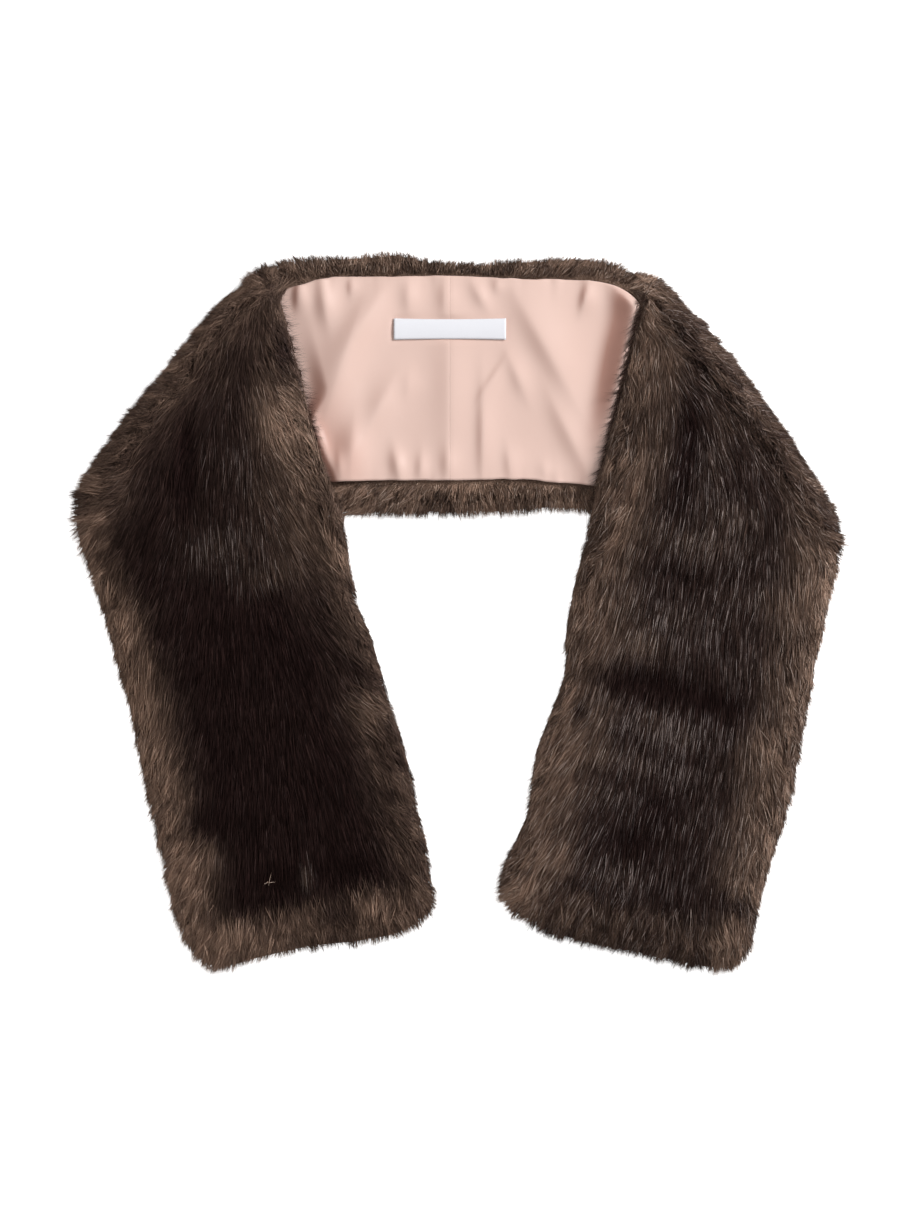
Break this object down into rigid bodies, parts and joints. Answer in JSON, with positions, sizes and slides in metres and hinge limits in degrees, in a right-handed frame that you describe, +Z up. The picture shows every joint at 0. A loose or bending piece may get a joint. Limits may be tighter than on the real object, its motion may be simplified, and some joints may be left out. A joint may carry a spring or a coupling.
{
  "type": "fur collar wrap",
  "caption": "Long strip of dark deep-pile fake fur with a pink satin lining, its ends folded over on a slant so that they hang side by side, with a bare white tape label.",
  "frame": {"origin": "on the surface that the wrap lies on, under the middle of its outline, in the gap between its two hanging ends", "axes": "+X along the middle of the strip towards the right end, +Y towards the collar edge, +Z up, out of the side that the lining faces"},
  "size_m": [0.4846, 0.4532, 0.03],
  "materials": {
    "fur": "deep-pile fake fur, near-black down the middle and taupe along its edges",
    "lining": "blush-pink satin with a soft sheen",
    "label": "plain white woven tape, bare"
  },
  "bodies": {
    "root": {"fur_middle": "fur", "fur_end_left": "fur", "fur_end_right": "fur", "lining_left": "lining", "lining_right": "lining", "label": "label"}
  },
  "joints": []
}
